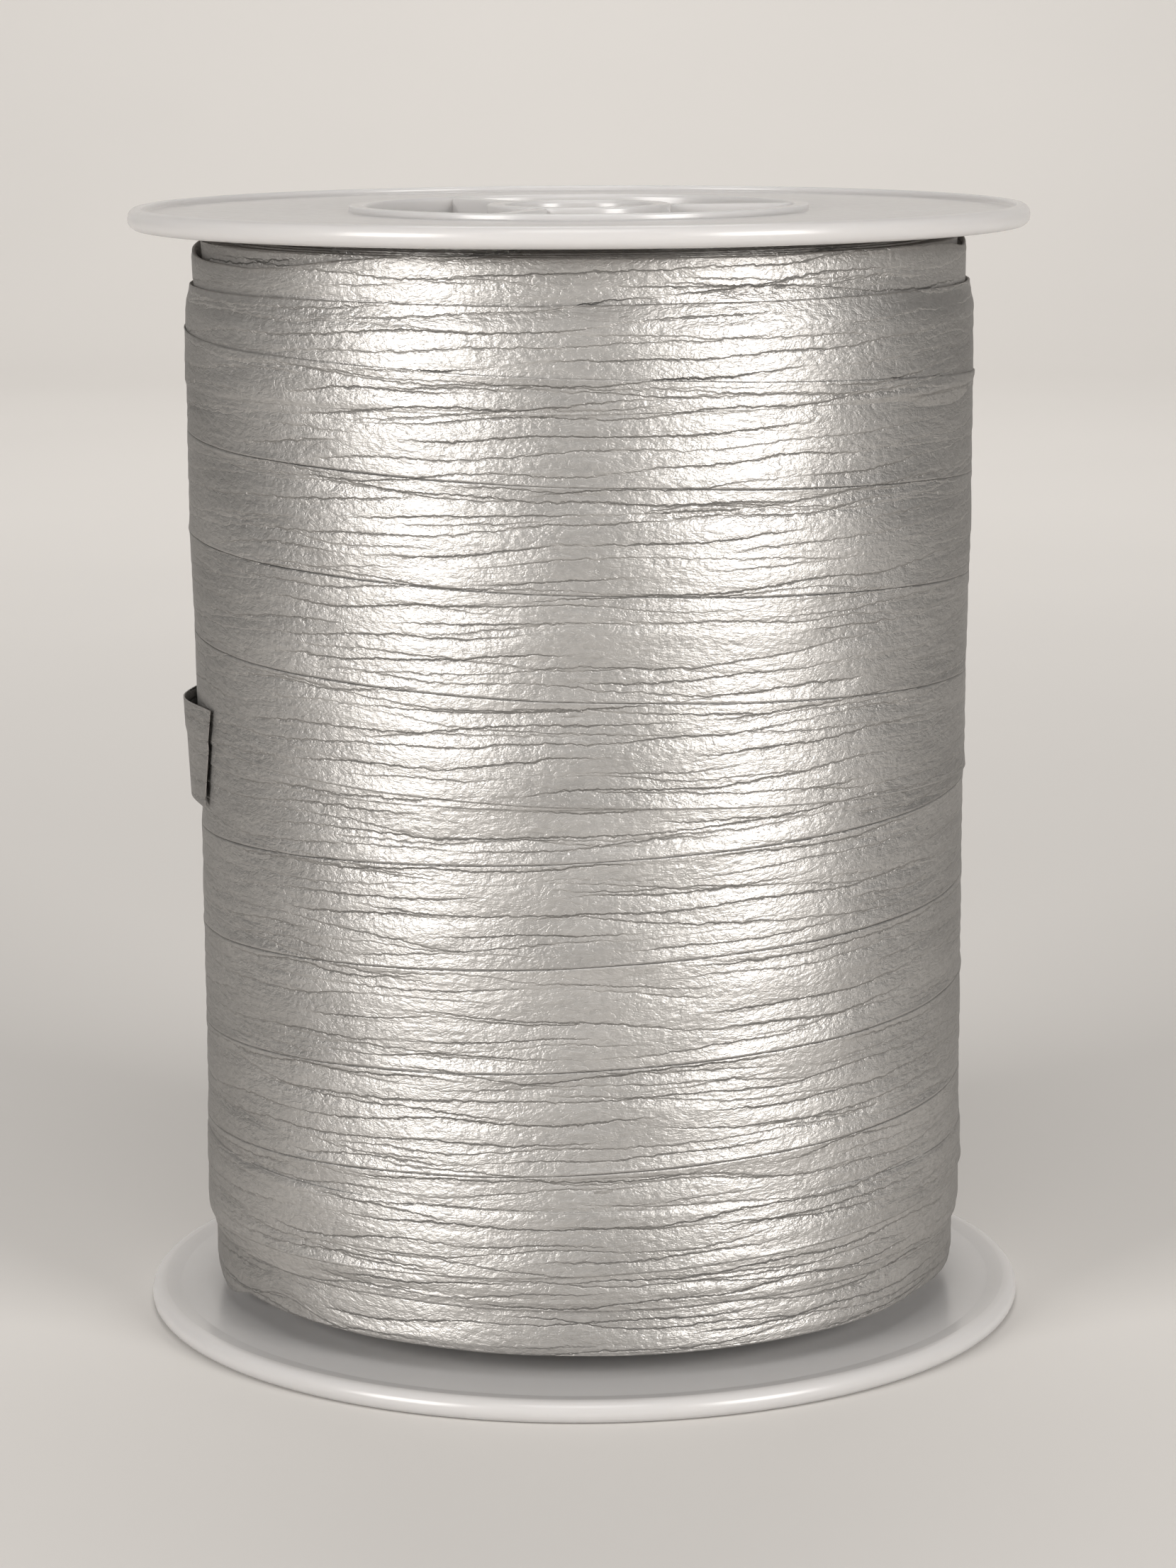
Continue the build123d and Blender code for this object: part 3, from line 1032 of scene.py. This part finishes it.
class REEL_OT_free_end(bpy.types.Operator):
    """The ribbon's free end, sprung off the winding and cut at a slant"""

    bl_idname = "reel.free_end"
    bl_label = "Free End"

    def execute(self, context):
        settings = context.scene.reel_ribbon
        points, length = self.surface(settings)
        obj = new_object("ribbon_free_end", self.strip(points, settings))
        shade(obj, bpy.data.materials["silver_ribbon"], radians(50))
        angle = hinge_angle()
        height = HINGE["pos_m"][2]
        start = polar(UPPER_RADIUS, angle - BEND_REACH, height)
        end = polar(UPPER_RADIUS, angle + BEND_REACH, height)
        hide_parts("ribbon_tail")
        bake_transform(obj)
        return {"FINISHED"}

    def surface(self, settings):
        """The outer face as rows of points along the ribbon, and its length."""
        root = hinge_angle()
        middle = FREE_END[0].z + settings.width / 2
        along_count, across_count = 90, 25
        rows = []
        for row in range(across_count):
            across = -1 + 2 * row / (across_count - 1)
            share_up = (across + 1) / 2
            last = FREE_END_FOOT + (FREE_END_TOP - FREE_END_FOOT) * share_up
            arch = FREE_END_ARCH + FREE_END_MORE_ARCH * share_up
            line = []
            for column in range(along_count):
                angle = FREE_END_START + (last - FREE_END_START) * column / (along_count - 1)
                height = middle + across * settings.width / 2
                lift = 0.0
                if angle > root:
                    along = (angle - root) / (last - root)
                    lift = arch * (1 - cos(2 * pi * along**1.15)) / 2
                    lift += FREE_END_TIP_LIFT * number_step(along, 0, 1)
                    height += FREE_END_SPREAD * across * number_step(along, 0.2, 1)
                turns_on = (angle - FREE_END_START) / (2 * pi)
                under_edge = middle - settings.width / 2 + TURN_PITCH * (1 - LATE_LEVEL_TURNS - turns_on)
                lap = number_step(height, under_edge - 0.6 * MM, under_edge) * settings.thickness
                radius = UPPER_RADIUS + layer_profile(height, number_step) + lap + lift
                line.append(polar(radius, angle, height))
            rows.append(line)
        centre = rows[across_count // 2]
        length = sum((b - a).length for a, b in zip(centre, centre[1:]))
        return rows, length

    def strip(self, rows, settings):
        """A closed thin strip with that outer face."""
        shape = bmesh.new()
        uv_layer = shape.loops.layers.uv.new("UVMap")
        outer = [[shape.verts.new(point) for point in line] for line in rows]
        inner = []
        for line in rows:
            inward = []
            for point in line:
                flat = Vector((point.x, point.y, 0))
                inward.append(shape.verts.new(point - flat.normalized() * settings.thickness))
            inner.append(inward)
        row_count, column_count = len(rows), len(rows[0])
        for row in range(row_count - 1):
            for column in range(column_count - 1):
                for side in (outer, inner):
                    shape.faces.new((
                        side[row][column],
                        side[row][column + 1],
                        side[row + 1][column + 1],
                        side[row + 1][column],
                    ))
        border = [(0, column) for column in range(column_count)]
        border += [(row, column_count - 1) for row in range(1, row_count)]
        border += [(row_count - 1, column) for column in range(column_count - 2, -1, -1)]
        border += [(row, 0) for row in range(row_count - 2, 0, -1)]
        for here, there in zip(border, border[1:] + border[:1]):
            a, b = outer[here[0]][here[1]], outer[there[0]][there[1]]
            c, d = inner[there[0]][there[1]], inner[here[0]][here[1]]
            shape.faces.new((a, b, c, d))
        bmesh.ops.recalc_face_normals(shape, faces=shape.faces)
        for face in shape.faces:
            for loop in face.loops:
                x, y, z = loop.vert.co
                loop[uv_layer].uv = (atan2(y, -x) * -UPPER_RADIUS, z - rows[0][0].z - settings.width / 2)
        return mesh_of("ribbon_free_end", shape)


class REEL_OT_ribbon_start(bpy.types.Operator):
    """Finishes of the ribbon's first turn on the barrel and of the tape that holds it"""

    bl_idname = "reel.ribbon_start"
    bl_label = "Ribbon Start"

    def execute(self, context):
        finishes = {
            "ribbon_first_turn": film_material(context.scene.reel_ribbon.silver),
            "ribbon_start_tape": tape_material(),
        }
        for name, material in finishes.items():
            for slot in bpy.data.objects[name].material_slots:
                slot.material = material
        return {"FINISHED"}


# ---------------------------------------------------------------- the add-on


class REEL_PT_panel(bpy.types.Panel):
    """Lists the reel's settings and pieces"""

    bl_idname = "REEL_PT_panel"
    bl_label = "Ribbon Reel"
    bl_space_type = "VIEW_3D"
    bl_region_type = "UI"
    bl_category = "Ribbon Reel"

    def draw(self, context):
        for title, settings_name, operators in GROUPS:
            box = self.layout.box()
            box.label(text=title)
            if settings_name:
                settings = getattr(context.scene, settings_name)
                for name in settings.__annotations__:
                    box.prop(settings, name)
            for operator in operators:
                box.operator(operator)


GROUPS = (
    ("Stage", "reel_stage", ("reel.stage",)),
    ("Reel", "reel_halves", ("reel.halves",)),
    ("Ribbon", "reel_ribbon", ("reel.wound_ribbon", "reel.free_end", "reel.ribbon_start")),
)
SETTINGS = {"reel_stage": StageSettings, "reel_halves": ReelSettings, "reel_ribbon": RibbonSettings}
CLASSES = (
    ReelSettings,
    RibbonSettings,
    StageSettings,
    REEL_OT_stage,
    REEL_OT_halves,
    REEL_OT_wound_ribbon,
    REEL_OT_free_end,
    REEL_OT_ribbon_start,
    REEL_PT_panel,
)


def register():
    for cls in CLASSES:
        bpy.utils.register_class(cls)
    for name, settings in SETTINGS.items():
        setattr(bpy.types.Scene, name, PointerProperty(type=settings))


def unregister():
    for name in SETTINGS:
        delattr(bpy.types.Scene, name)
    for cls in reversed(CLASSES):
        bpy.utils.unregister_class(cls)


def main():
    """Builds the stage and every piece."""
    register()
    bpy.ops.reel.stage()
    bpy.ops.reel.halves()
    bpy.ops.reel.wound_ribbon()
    bpy.ops.reel.free_end()
    bpy.ops.reel.ribbon_start()


if __name__ == "__main__":
    main()
